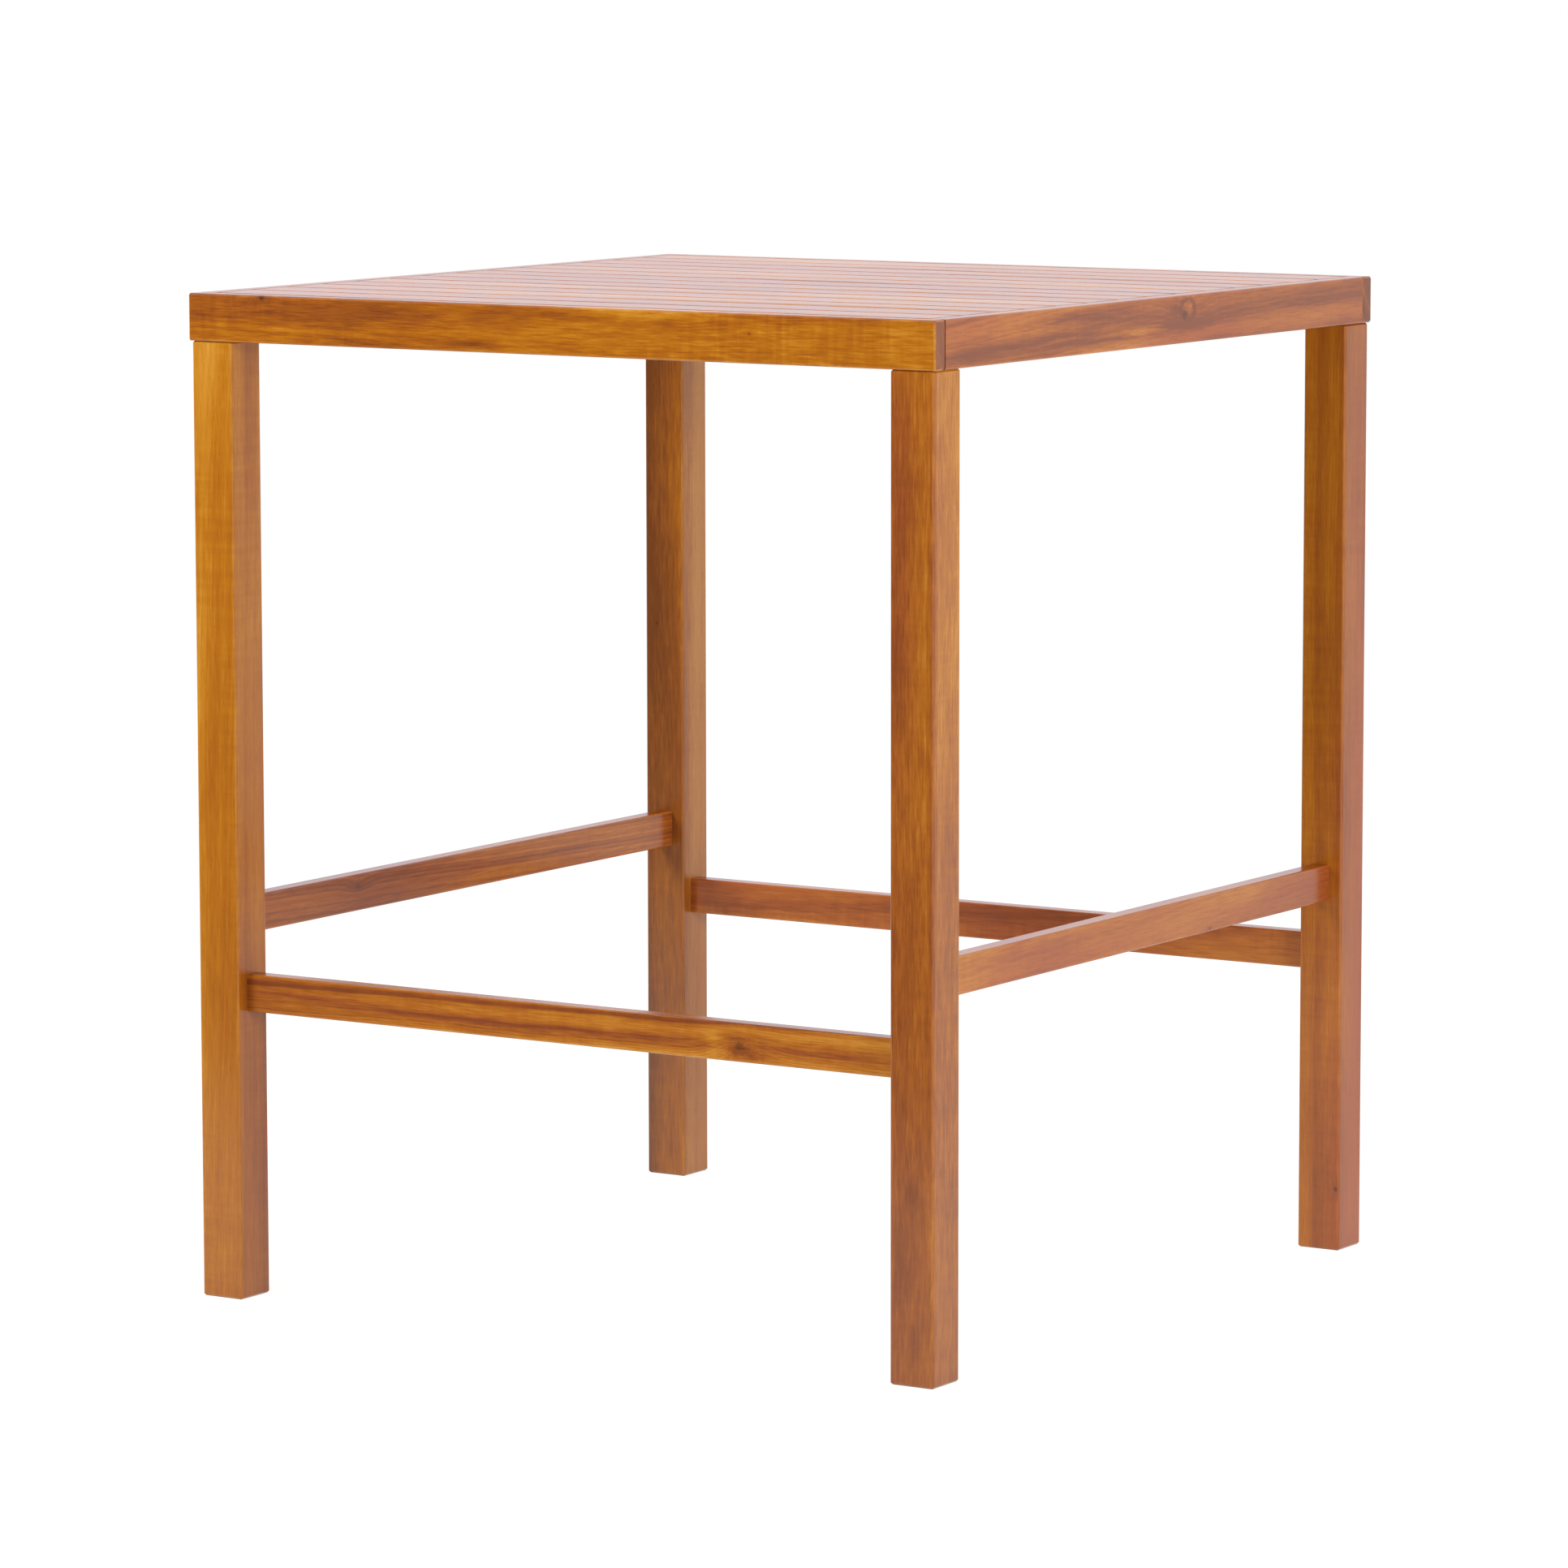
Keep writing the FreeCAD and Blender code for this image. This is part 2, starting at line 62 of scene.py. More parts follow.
def addCamera():
    data = bpy.data.cameras.new("camera")
    data.lens = cameraSettings["lens"]
    data.sensor_width = cameraSettings["sensor"]
    data.clip_end = cameraSettings["farthest"]
    camera = bpy.data.objects.new("camera", data)
    scene.collection.objects.link(camera)
    camera.location = cameraSettings["place"]
    look = (Vector(cameraSettings["aim"]) - camera.location).to_track_quat("-Z", "Y")
    camera.rotation_mode = "QUATERNION"
    camera.rotation_quaternion = look @ Quaternion((0, 0, 1), math.radians(cameraSettings["roll"]))
    scene.camera = camera


addCamera()
print("camera set")


# Nodes and node groups

def put(tree, kind, inputs=None, **settings):
    # adds a node; each input takes a value or another node's socket
    node = tree.nodes.new("ShaderNode" + kind)
    for name, value in settings.items():
        setattr(node, name, value)
    for name, value in (inputs or {}).items():
        if isinstance(value, bpy.types.NodeSocket):
            tree.links.new(value, node.inputs[name])
        else:
            node.inputs[name].default_value = value
    return node


def useGroup(tree, group, inputs):
    return put(tree, "Group", inputs, node_tree=group).outputs


def maths(tree, operation, first, second=0.0, clamp=False):
    return put(tree, "Math", {0: first, 1: second}, operation=operation, use_clamp=clamp).outputs[0]


def plus(tree, base, value, share, clamp=False):
    return maths(tree, "ADD", base, maths(tree, "MULTIPLY", value, share), clamp)


def vectors(tree, operation, first, second=(0, 0, 0)):
    node = put(tree, "VectorMath", {0: first, 1: second}, operation=operation)
    return node.outputs["Value" if operation in ("LENGTH", "DOT_PRODUCT") else "Vector"]


def scaled(tree, vector, factor):
    return put(tree, "VectorMath", {0: vector, "Scale": factor}, operation="SCALE").outputs[0]


def fade(tree, value, low, high, toLow=0.0, toHigh=1.0, smooth=True):
    node = put(tree, "MapRange", {"Value": value, "From Min": low, "From Max": high,
                                  "To Min": toLow, "To Max": toHigh})
    node.interpolation_type = "SMOOTHSTEP" if smooth else "LINEAR"
    return node.outputs["Result"]


def opaque(color):
    return (*color, 1)


def objectPlace(tree):
    return put(tree, "TexCoord").outputs["Object"]


def mixColors(tree, share, first, second):
    return put(tree, "Mix", {0: share, 6: first, 7: second}, data_type="RGBA").outputs[2]


def noiseField(tree, vector, stretch, detail, roughness=0.5, distortion=0.0, output="Fac"):
    # stretch is how often the noise changes per metre along and across the grain
    node = put(tree, "TexNoise", {"Vector": vectors(tree, "MULTIPLY", vector, stretch), "Scale": 1.0,
                                  "Detail": detail, "Roughness": roughness, "Distortion": distortion})
    return node.outputs[output]


def jitterField(tree, vector, stretch, detail):
    # noise in all three directions, centred on zero
    color = noiseField(tree, vector, stretch, detail, output="Color")
    return vectors(tree, "SUBTRACT", color, (0.5, 0.5, 0.5))


def newGroup(name, inputs, outputs):
    # inputs are label: default, a number or a vector; every output is a number
    tree = bpy.data.node_groups.new(name, "ShaderNodeTree")
    for label, value in inputs.items():
        kind = "NodeSocketVector" if isinstance(value, tuple) else "NodeSocketFloat"
        socket = tree.interface.new_socket(name=label, in_out="INPUT", socket_type=kind)
        socket.default_value = value
    for label in outputs:
        tree.interface.new_socket(name=label, in_out="OUTPUT", socket_type="NodeSocketFloat")
    start = tree.nodes.new("NodeGroupInput").outputs
    end = tree.nodes.new("NodeGroupOutput").inputs
    return tree, start, end


# Growth layers: shells round a pith line that lies outside the board, so that all faces agree

layerSettings = {
    "wander": ((2.2, 9.0, 9.0), 1.5),      # stretch and detail
    "layers": {                            # changes per metre, detail, shift by the seed
        "Bands": (55.0, 1.5, 3.1),
        "Lines": (380.0, 2.0, 7.7),
        "Fine Lines": (1254.0, 1.0, 0.0),
    },
}


def buildLayers():
    tree, start, end = newGroup("growthLayers", {
        "Vector": (0, 0, 0), "Pith": (0, 0.1, 0.1), "Tilt": (0, 0, 0), "Seed": 0.0, "Wander": 0.01,
        "Lift": 0.0}, layerSettings["layers"])
    seeded = vectors(tree, "ADD", start["Vector"], start["Seed"])      # the seed moves all three axes
    push = scaled(tree, jitterField(tree, seeded, *layerSettings["wander"]), start["Wander"])
    along = put(tree, "SeparateXYZ", {0: start["Vector"]}).outputs["X"]
    off = vectors(tree, "SUBTRACT", vectors(tree, "ADD", start["Vector"], push), start["Pith"])
    off = vectors(tree, "SUBTRACT", off, scaled(tree, start["Tilt"], along))
    across = vectors(tree, "MULTIPLY", off, (0, 1, 1))
    radius = maths(tree, "ADD", vectors(tree, "LENGTH", across), start["Lift"])
    for label, (scale, detail, shift) in layerSettings["layers"].items():
        place = plus(tree, maths(tree, "MULTIPLY", radius, scale), start["Seed"], shift)
        layer = put(tree, "TexNoise", {"W": place, "Scale": 1.0, "Detail": detail}, noise_dimensions="1D")
        tree.links.new(layer.outputs["Fac"], end[label])
    return tree


# Fibre, flecks, pores, the slow change of tone along a board and the ripple that catches the light

fibreSettings = {              # stretch, detail, roughness and distortion of each noise
    "Fibre": ((34, 620, 620), 3.0, 0.65),
    "Fleck": ((30, 210, 210), 3.0, 0.65),
    "Drift": ((3.2, 14, 14), 2.0),
    "pore": ((170, 1500, 1500), 1.0),
    "poreCut": (0.64, 0.74),
    "poreArea": ((9, 120, 120), 1.0),
    "poreAreaCut": (0.38, 0.62),
    "ripple": ((125, 14, 14), 1.0, 0.5, 0.5),
    "rippleArea": ((3.0, 16, 16), 1.0),
    "rippleAreaCut": (0.38, 0.58),
}


def buildFibre():
    settings = fibreSettings
    tree, start, end = newGroup("fibreAndPores", {"Vector": (0, 0, 0), "Seed": 0.0},
                                ("Fibre", "Pores", "Drift", "Ripple", "Fleck"))
    seeded = vectors(tree, "ADD", start["Vector"], start["Seed"])
    for label in ("Fibre", "Fleck", "Drift"):
        tree.links.new(noiseField(tree, seeded, *settings[label]), end[label])
    pores = fade(tree, noiseField(tree, seeded, *settings["pore"]), *settings["poreCut"])
    area = fade(tree, noiseField(tree, seeded, *settings["poreArea"]), *settings["poreAreaCut"])
    tree.links.new(maths(tree, "MULTIPLY", pores, area), end["Pores"])
    ripple = maths(tree, "SUBTRACT", noiseField(tree, seeded, *settings["ripple"]), 0.5)
    area = fade(tree, noiseField(tree, seeded, *settings["rippleArea"]), *settings["rippleAreaCut"])
    tree.links.new(maths(tree, "ADD", maths(tree, "MULTIPLY", ripple, area), 0.5), end["Ripple"])
    return tree


# A knot: lifts the layers into an eye round its middle and darkens the core

knotSettings = {               # fades run over the distance from the middle, in radii
    "rough": ((240, 240, 240), 2.0),
    "roughShare": 0.9,
    "eyeShape": (0.42, 1, 1),  # the eye is longer along the grain
    "eyeFall": -0.22,
    "coreShape": (0.75, 1, 1),
    "coreFade": (1.0, 0.35),
    "rimRise": (0.6, 1.0),
    "rimFall": (1.0, 1.5),
    "haloFade": (2.6, 0.6),
}


def fromMiddle(tree, off, shape, radius):
    return maths(tree, "DIVIDE", vectors(tree, "LENGTH", vectors(tree, "MULTIPLY", off, shape)), radius)


def bell(tree, distance, fall):
    return maths(tree, "EXPONENT", maths(tree, "MULTIPLY", maths(tree, "POWER", distance, 2.0), fall))


def buildKnot():
    settings = knotSettings
    tree, start, end = newGroup("knot", {
        "Vector": (0, 0, 0), "Place": (0, 0, 0), "Radius": 0.006, "Height": 0.012, "Core": 1.0,
    }, ("Lift", "Core", "Rim", "Halo"))
    rough = jitterField(tree, vectors(tree, "ADD", start["Vector"], start["Place"]), *settings["rough"])
    rough = scaled(tree, rough, maths(tree, "MULTIPLY", start["Radius"], settings["roughShare"]))
    off = vectors(tree, "ADD", vectors(tree, "SUBTRACT", start["Vector"], start["Place"]), rough)
    eye = fromMiddle(tree, off, settings["eyeShape"], start["Radius"])
    lift = maths(tree, "MULTIPLY", bell(tree, eye, settings["eyeFall"]), start["Height"])
    near = fromMiddle(tree, off, settings["coreShape"], start["Radius"])
    core = maths(tree, "MULTIPLY", fade(tree, near, *settings["coreFade"]), start["Core"])
    rim = maths(tree, "SUBTRACT", fade(tree, near, *settings["rimRise"]),
                fade(tree, near, *settings["rimFall"]))
    halo = fade(tree, eye, *settings["haloFade"])
    for label, value in (("Lift", lift), ("Core", core), ("Rim", rim), ("Halo", halo)):
        tree.links.new(value, end[label])
    return tree


# A soft patch of another tone, longer along the grain

patchSettings = {
    "rough": ((16, 70, 70), 3.0),
    "roughReach": 1.8,
    "fall": -1.0,
}


def buildPatch():
    tree, start, end = newGroup("colorPatch", {
        "Vector": (0, 0, 0), "Place": (0, 0, 0), "Reach": (0.1, 0.02, 0.01)}, ("Share",))
    rough = jitterField(tree, start["Vector"], *patchSettings["rough"])
    rough = scaled(tree, rough, patchSettings["roughReach"])
    off = vectors(tree, "DIVIDE", vectors(tree, "SUBTRACT", start["Vector"], start["Place"]), start["Reach"])
    spread = vectors(tree, "LENGTH", vectors(tree, "ADD", off, rough))
    tree.links.new(bell(tree, spread, patchSettings["fall"]), end["Share"])
    return tree


# Where a board's edges are rubbed and carry a painted highlight: near two of its faces at once

edgeSettings = {
    "worn": ((30, 60, 60), 2.0),
    "wornWidths": (0.25, 0.75, 0.4, 1.5),      # noise from and to, the width's share from and to
    "rub": (1.0, 0.1),
}


# the mask of the paler edges, which are partly wear and partly a painted highlight
def buildEdgeWearAndHighlight():
    tree, start, end = newGroup("edgeWearAndHighlight", {
        "Vector": (0, 0, 0), "Half Size": (1, 1, 1), "Width": 0.004}, ("Edge",))
    inside = vectors(tree, "SUBTRACT", start["Half Size"], vectors(tree, "ABSOLUTE", start["Vector"]))
    x, y, z = put(tree, "SeparateXYZ", {0: inside}).outputs
    nearest = maths(tree, "MINIMUM", maths(tree, "MINIMUM", x, y), z)
    farthest = maths(tree, "MAXIMUM", maths(tree, "MAXIMUM", x, y), z)
    total = maths(tree, "ADD", maths(tree, "ADD", x, y), z)
    second = maths(tree, "SUBTRACT", maths(tree, "SUBTRACT", total, nearest), farthest)
    worn = noiseField(tree, vectors(tree, "ADD", start["Vector"], start["Half Size"]), *edgeSettings["worn"])
    width = maths(tree, "MULTIPLY", start["Width"], fade(tree, worn, *edgeSettings["wornWidths"]))
    tree.links.new(fade(tree, maths(tree, "DIVIDE", second, width), *edgeSettings["rub"]), end["Edge"])
    return tree


growthLayers = buildLayers()
fibreAndPores = buildFibre()
knotGroup = buildKnot()
colorPatch = buildPatch()
edgeWearAndHighlight = buildEdgeWearAndHighlight()
print("node groups built")


# Oiled acacia

acaciaSettings = {
    "tones": (              # from heartwood streaks to the palest sapwood
        (0.00, (0.130, 0.028, 0.008)),
        (0.25, (0.250, 0.064, 0.009)),
        (0.45, (0.365, 0.104, 0.005)),
        (0.62, (0.455, 0.152, 0.005)),
        (0.80, (0.560, 0.228, 0.016)),
        (1.00, (0.660, 0.310, 0.045)),
    ),
    "middleTone": 0.5,
    "red": (0.400, 0.092, 0.020),
    "darkRed": (0.220, 0.0506, 0.011),
    "redTones": (0.2, 0.8),            # the red is dark up to the first tone
    "olive": (0.230, 0.098, 0.018),
    "knot": (0.085, 0.022, 0.006),
    "pore": (0.120, 0.045, 0.015),
    "endGrain": (0.180, 0.046, 0.018),
    "shares": (             # how far a pattern moves the tone, and the board's value that scales it
        ("Bands", 1.20, "contrast"),
        ("Lines", 0.55, "contrast"),
        ("Fine Lines", 0.30, "contrast"),
        ("Fibre", 0.62, "fibre"),
        ("Drift", 0.60, "cloud"),
        ("Fleck", 0.70, "fleck"),
        ("Ripple", 0.34, "ripple"),
    ),
    "redDrift": (0.25, 0.75, 1.3, 0.5),        # drift from and to, the red's share from and to
    "streakBands": (0.40, 0.30),               # a band this low turns into a dark streak
    "streakTone": -0.30,
    "streakRed": 0.6,
    "edgeWearAndHighlightTone": 0.12,                          # rubbed edges are paler: light wear together with a painted highlight along the rounded edges
    "haloTone": -0.12,
    "rimTone": -0.30,
    "poreShare": 0.35,
    "knotShare": 0.9,
    "endFacing": (0.8, 0.95),                  # how straight a face looks along the grain to be end grain
    "endShare": 0.9,
    "endLines": (0.3, 0.7, 0.0, 0.3),          # lines from and to, how far they lighten end grain
    "roughness": 0.17,
    "roughFibre": 0.10,
    "roughEnd": 0.12,
    "ior": 1.50,
    "edgeWidth": 0.0035,
    "relief": 0.35,
    "reliefFibre": 0.6,
    "reliefLines": 0.5,
    "reliefDepth": 0.00012,
    "seamReach": (0.009, 0.02),                # across the slat and down its edge
    "seamDepth": 0.0022,
    "seed": (1.3, 3.7),     # of the first board, and the step to the next
}

# What each board looks like. pith is where the heart of the tree lay, across the board (y, z),
# drift and blush are how tone and redness change along and across the board,
# knots are (x, y, z, radius, lift, core, rim) and patches are (place, reach, tone, red).
plainBoard = {
    "tone": 0.0, "red": 0.25, "olive": 0.0, "contrast": 1.0, "streak": 0.25, "ripple": 0.4, "fleck": 0.3,
    "fibre": 1.0, "cloud": 1.0, "pith": (0.12, 0.16), "tilt": (0.02, 0.01), "wander": 0.014,
    "drift": (0, 0, 0), "blush": (0, 0, 0), "edge": 1.0, "relief": 1.0,
    "seams": (), "knots": (), "patches": (),
}
boardLooks = {
    "rail_front": {
        "tone": -0.07, "red": 0.06, "pith": (0.32, 0.14), "tilt": (0.01, -0.03), "ripple": 0.8,
        "contrast": 0.55, "wander": 0.035, "fleck": 0.7,
        "knots": ((-0.362, -0.010, 0.0235, 0.0045, 0.006, 1.0, 0.2),
                  (0.241, -0.010, 0.005, 0.0016, 0.006, 0.5, 0)),
        "patches": (((-0.33, -0.01, 0.012), (0.17, 0.02, 0.018), -0.15, 0.35),
                    ((-0.17, -0.01, -0.007), (0.15, 0.02, 0.006), 0.16, -0.1),
                    ((-0.09, -0.01, -0.0165), (0.06, 0.02, 0.006), -0.26, 0.1),
                    ((-0.12, -0.01, 0.010), (0.035, 0.02, 0.014), 0.12, 0.0),
                    ((0.12, -0.01, 0.012), (0.13, 0.02, 0.012), 0.28, -0.2),
                    ((0.06, -0.01, 0.022), (0.18, 0.02, 0.005), 0.34, -0.1),
                    ((0.16, -0.01, -0.013), (0.32, 0.02, 0.011), 0.14, -0.1),
                    ((0.42, -0.01, 0.0), (0.04, 0.02, 0.030), 0.16, 0.0)),
    },
    "rail_right": {
        "tone": 0.04, "red": 0.80, "pith": (0.24, -0.16), "tilt": (0.0, 0.05), "wander": 0.034,
        "streak": 0.15, "contrast": 0.6, "drift": (0.06, 0, 0), "fleck": 0.6,
        "knots": ((0.049, -0.010, 0.010, 0.0105, 0.012, 0.0, 1.5),
                  (0.043, -0.010, 0.0050, 0.0060, 0.0, 0.9, 0.0)),
        "patches": (((-0.33, -0.01, 0.006), (0.08, 0.02, 0.008), 0.10, -0.2),
                    ((-0.05, -0.01, -0.006), (0.07, 0.02, 0.005), 0.22, -0.4),
                    ((-0.40, -0.01, -0.014), (0.06, 0.02, 0.0035), -0.32, 0.1),
                    ((-0.32, -0.01, -0.009), (0.06, 0.02, 0.0030), -0.34, 0.1),
                    ((-0.23, -0.01, -0.004), (0.07, 0.02, 0.0030), -0.32, 0.1),
                    ((-0.17, -0.01, 0.013), (0.08, 0.02, 0.007), -0.40, 0.1),
                    ((-0.12, -0.01, -0.013), (0.11, 0.02, 0.0025), -0.30, 0.1),
                    ((0.054, -0.01, 0.013), (0.005, 0.02, 0.004), 0.16, -0.1),
                    ((0.024, -0.01, 0.012), (0.012, 0.02, 0.010), -0.26, 0.1),
                    ((0.03, -0.01, -0.006), (0.04, 0.02, 0.003), -0.22, 0.1),
                    ((0.32, -0.01, 0.004), (0.12, 0.02, 0.004), -0.10, 0.1)),
    },
    "rail_back": {"red": 0.35, "pith": (0.3, 0.2)},
    "rail_left": {"tone": 0.02, "red": 0.4, "pith": (0.2, -0.2)},
    "leg_front_left": {
        "tone": 0.08, "red": 0.0, "olive": 0.05, "pith": (0.30, -0.16), "ripple": 0.5, "fibre": 0.6,
        "contrast": 0.35, "streak": 0.0, "drift": (0.16, -1.5, 1.5), "blush": (-0.2, 5.0, -5.0),
        "patches": (((0.44, 0.008, -0.0255), (0.10, 0.014, 0.012), -0.10, 0.0),
                    ((-0.36, 0.008, -0.0255), (0.14, 0.016, 0.012), -0.13, 0.1)),
    },
    "leg_front_right": {
        "tone": 0.02, "red": 0.40, "olive": 0.10, "pith": (0.20, 0.20), "tilt": (0.03, -0.01),
        "contrast": 0.42, "wander": 0.022, "streak": 0.3, "fleck": 0.9,
        "drift": (0.20, 1.6, -0.6), "blush": (-0.3, -4.0, 4.0),
        "patches": (((0.38, -0.0255, 0.014), (0.10, 0.012, 0.012), -0.06, 0.6),
                    ((0.02, 0.004, -0.0255), (0.18, 0.02, 0.010), -0.12, 0.0),
                    ((0.23, -0.0255, 0.014), (0.05, 0.012, 0.012), -0.05, 0.5),
                    ((0.13, -0.0255, -0.012), (0.014, 0.01, 0.006), -0.22, 0.0),
                    ((-0.32, -0.0255, 0.0), (0.022, 0.01, 0.008), -0.16, 0.0),
                    ((-0.38, -0.0255, 0.016), (0.035, 0.01, 0.007), -0.16, 0.1),
                    ((-0.46, -0.0255, -0.006), (0.022, 0.01, 0.008), -0.14, 0.0)),
    },
    "leg_back_left": {
        "tone": 0.05, "olive": 0.29, "pith": (0.24, 0.12), "contrast": 0.4, "wander": 0.024,
        "drift": (-0.04, 12.5, -10.5), "fleck": 0.8, "streak": 0.1, "blush": (-0.35, 7.0, -7.0),
        "knots": ((0.136, -0.0255, 0.010, 0.0025, 0.006, 0.8, 0),),
    },
    "leg_back_right": {
        "tone": 0.04, "red": 0.55, "pith": (0.10, -0.28), "contrast": 0.40, "streak": 0.0,
        "ripple": 0.5, "drift": (-0.17, 0.8, 1.2), "fibre": 0.7, "blush": (-0.5, 13.0, -12.0),
        "knots": ((-0.4402, -0.0255, -0.0215, 0.003, 0.006, 0.9, 0),),
    },
    "stretcher_front": {
        "tone": 0.03, "red": 0.30, "pith": (0.06, 0.20), "tilt": (0.0, 0.012), "contrast": 0.9,
        "streak": 0.6, "wander": 0.02, "fleck": 0.5, "drift": (0.16, 0, 0),
        "knots": ((0.216, -0.010, -0.004, 0.0075, 0.016, 0.75, 0.4),),
        "patches": (((-0.20, -0.01, 0.015), (0.24, 0.02, 0.008), 0.26, -0.1),
                    ((-0.33, -0.01, 0.001), (0.09, 0.02, 0.003), -0.20, 0.6),
                    ((-0.18, -0.01, -0.005), (0.11, 0.02, 0.003), -0.22, 0.6),
                    ((0.02, -0.01, -0.005), (0.14, 0.02, 0.003), -0.20, 0.6),
                    ((0.08, -0.01, -0.017), (0.16, 0.02, 0.006), 0.20, -0.2),
                    ((0.186, -0.01, -0.001), (0.011, 0.02, 0.008), 0.20, -0.3),
                    ((0.238, -0.01, -0.011), (0.022, 0.02, 0.005), -0.28, 0.2),
                    ((0.33, -0.01, -0.003), (0.08, 0.02, 0.005), -0.16, 0.5),
                    ((0.34, -0.01, 0.012), (0.07, 0.02, 0.006), 0.12, 0.0)),
    },
    "stretcher_left": {
        "tone": 0.06, "red": 0.65, "pith": (0.10, -0.24), "tilt": (0.0, -0.03), "contrast": 0.9,
        "streak": 0.4, "fleck": 0.4,
        "knots": ((-0.2157, -0.010, 0.007, 0.0045, 0.007, 0.6, 0.4),),
        "patches": (((0.12, -0.01, 0.0), (0.14, 0.02, 0.0035), -0.16, 0.2),),
    },
    "stretcher_back": {"tone": 0.10, "red": 0.75, "pith": (0.3, 0.2), "contrast": 0.4, "ripple": 0.9,
                       "fleck": 0.6},
    "stretcher_right": {
        "tone": 0.11, "red": 0.82, "pith": (0.3, 0.25), "contrast": 0.35, "streak": 0.0,
        "knots": ((0.137, -0.010, -0.017, 0.002, 0.004, 0.8, 0),),
        "patches": (((-0.22, -0.01, 0.017), (0.14, 0.02, 0.005), 0.14, -0.3),),
    },
    "batten": {"tone": 0.05, "red": 0.2, "pith": (0.2, 0.2)},
}
slatLooks = {
    "tones": (0.09, -0.02, 0.14, 0.04, 0.16, 0.01, 0.12, -0.04, 0.08, 0.14, 0.02, 0.10, 0.04, 0.13),
    "reds": (0.30, 0.45, 0.15, 0.35, 0.20, 0.50, 0.30, 0.55, 0.25, 0.15, 0.40, 0.30, 0.45, 0.20),
    "shared": {"contrast": 0.25, "fibre": 0.10, "fleck": 0.0, "edge": 0.0, "relief": 0.25},
    "turn": 2.4,            # radians from one slat's pith to the next
    "pithReach": 0.16,
    "pithDepth": (0.05, 0.12),
    "tilt": (0.04, 0.02),
    "calm": ((-0.42, 0.26, -0.75), (-0.12, 0.20, -0.2)),     # where all the seams are weak
    "seams": {              # slat: (x, half length, depth) of the dips along its front edge, or rises below 0
        1: ((0.20, 0.25, 0.4),),
        2: ((-0.05, 0.20, 0.5), (0.30, 0.18, -0.6)),
        3: ((0.30, 0.26, 2.0), (-0.05, 0.15, 0.4)),
        4: ((0.15, 0.25, -0.5),),
        5: ((0.12, 0.30, 0.6), (-0.15, 0.15, 0.8)),
        6: ((-0.08, 0.18, 0.6), (0.35, 0.15, -0.6)),
        7: ((0.20, 0.16, 1.1), (-0.08, 0.12, -0.3)),
        8: ((0.20, 0.25, -0.4), (-0.38, 0.14, 0.9)),
        9: ((-0.02, 0.16, 1.7), (0.32, 0.14, -0.5)),
        10: ((0.20, 0.20, 0.5),),
        11: ((0.20, 0.16, -0.9), (-0.36, 0.10, 0.5)),
        12: ((0.25, 0.20, 1.0), (-0.30, 0.12, 1.0)),
        13: ((-0.03, 0.14, 1.2), (-0.38, 0.14, 0.4)),
        14: ((0.32, 0.12, -0.3), (0.0, 0.12, 0.4)),
    },
}
grainTurns = {              # turns the board so that its grain runs along x
    0: (0, 0, 0),
    1: (0, 0, -math.pi / 2),
    2: (0, math.pi / 2, 0),
}


def slatLook(number):
    angle = slatLooks["turn"] * (number - 1)
    depth, swing = slatLooks["pithDepth"]
    tilt, lean = slatLooks["tilt"]
    return {
        **slatLooks["shared"],
        "tone": slatLooks["tones"][number - 1],
        "red": slatLooks["reds"][number - 1],
        "pith": (slatLooks["pithReach"] * math.cos(angle), -depth - swing * abs(math.sin(angle))),
        "tilt": (tilt * math.sin(angle), lean),
        "seams": slatLooks["calm"] + slatLooks["seams"][number],
    }


def lookOf(name, number):
    first, step = acaciaSettings["seed"]
    own = slatLook(int(name[-2:])) if name.startswith("slat_") else boardLooks.get(name, {})
    return {**plainBoard, "seed": step * number + first, **own}


def longSide(size):
    return max(range(3), key=lambda index: size[index])


def boardFrame(name):
    # the board's long axis, the turn that lays its grain along x, then its middle and half size
    low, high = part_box(name)
    axis = longSide(high - low)
    turn = Euler(grainTurns[axis])
    middle = turn.to_matrix() @ ((low + high) / 2)
    half = turn.to_matrix() @ ((high - low) / 2)
    return axis, turn, middle, [abs(side) for side in half]


def knotMarks(tree, board, look):
    lift = core = rim = halo = 0.0
    for x, y, z, radius, height, dark, ring in look["knots"]:
        knot = useGroup(tree, knotGroup, {"Vector": board, "Place": (x, y, z), "Radius": radius,
                                          "Height": height, "Core": dark})
        lift = maths(tree, "ADD", lift, knot["Lift"])
        core = maths(tree, "MAXIMUM", core, knot["Core"])
        rim = plus(tree, rim, knot["Rim"], ring)
        halo = maths(tree, "MAXIMUM", halo, knot["Halo"])
    return {"Lift": lift, "Core": core, "Rim": rim, "Halo": halo}


def boardMarks(tree, board, look, half):
    # what the groups put out for this board, by name
    marks = knotMarks(tree, board, look)
    for group, inputs in (
            (growthLayers, {"Pith": (0, *look["pith"]), "Tilt": (0, *look["tilt"]), "Seed": look["seed"],
                            "Wander": look["wander"], "Lift": marks["Lift"]}),
            (fibreAndPores, {"Seed": look["seed"]}),
            (edgeWearAndHighlight, {"Half Size": half, "Width": acaciaSettings["edgeWidth"]})):
        for socket in useGroup(tree, group, {"Vector": board, **inputs}):
            marks[socket.name] = socket
    return marks


